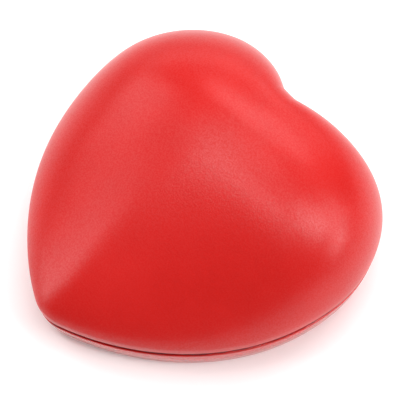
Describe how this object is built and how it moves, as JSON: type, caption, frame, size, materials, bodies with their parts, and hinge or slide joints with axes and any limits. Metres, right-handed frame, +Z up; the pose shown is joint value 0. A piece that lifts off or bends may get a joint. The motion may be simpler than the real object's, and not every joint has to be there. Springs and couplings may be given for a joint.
{
  "type": "stress ball",
  "caption": "Heart-shaped soft foam squeeze toy with a crowned top, a notch between two lobes and a flat back, red skin over a foam core, made to be pressed in the hand.",
  "frame": {"origin": "on the flat back that it rests on, in the middle of the heart's width and length", "axes": "+X across the two lobes, +Y from the tip towards the notch, +Z up through the crown"},
  "size_m": [0.072, 0.071, 0.0352],
  "materials": {
    "red_skin": "satin",
    "trimmed_foam": "matte",
    "core_foam": "matte"
  },
  "bodies": {
    "base": {"lower_skin": "red_skin", "parting_fin": "trimmed_foam", "foam_core_lower": "core_foam"},
    "crown": {"upper_skin": "red_skin", "foam_core_upper": "core_foam"}
  },
  "joints": [
    {"name": "squeeze", "type": "slide", "parent": "base", "child": "crown", "axis": [0, 0, -1], "range_m": [0, 0.012], "stiffness_N_per_m": 4000, "deforming": ["upper_skin", "foam_core_lower"]}
  ]
}
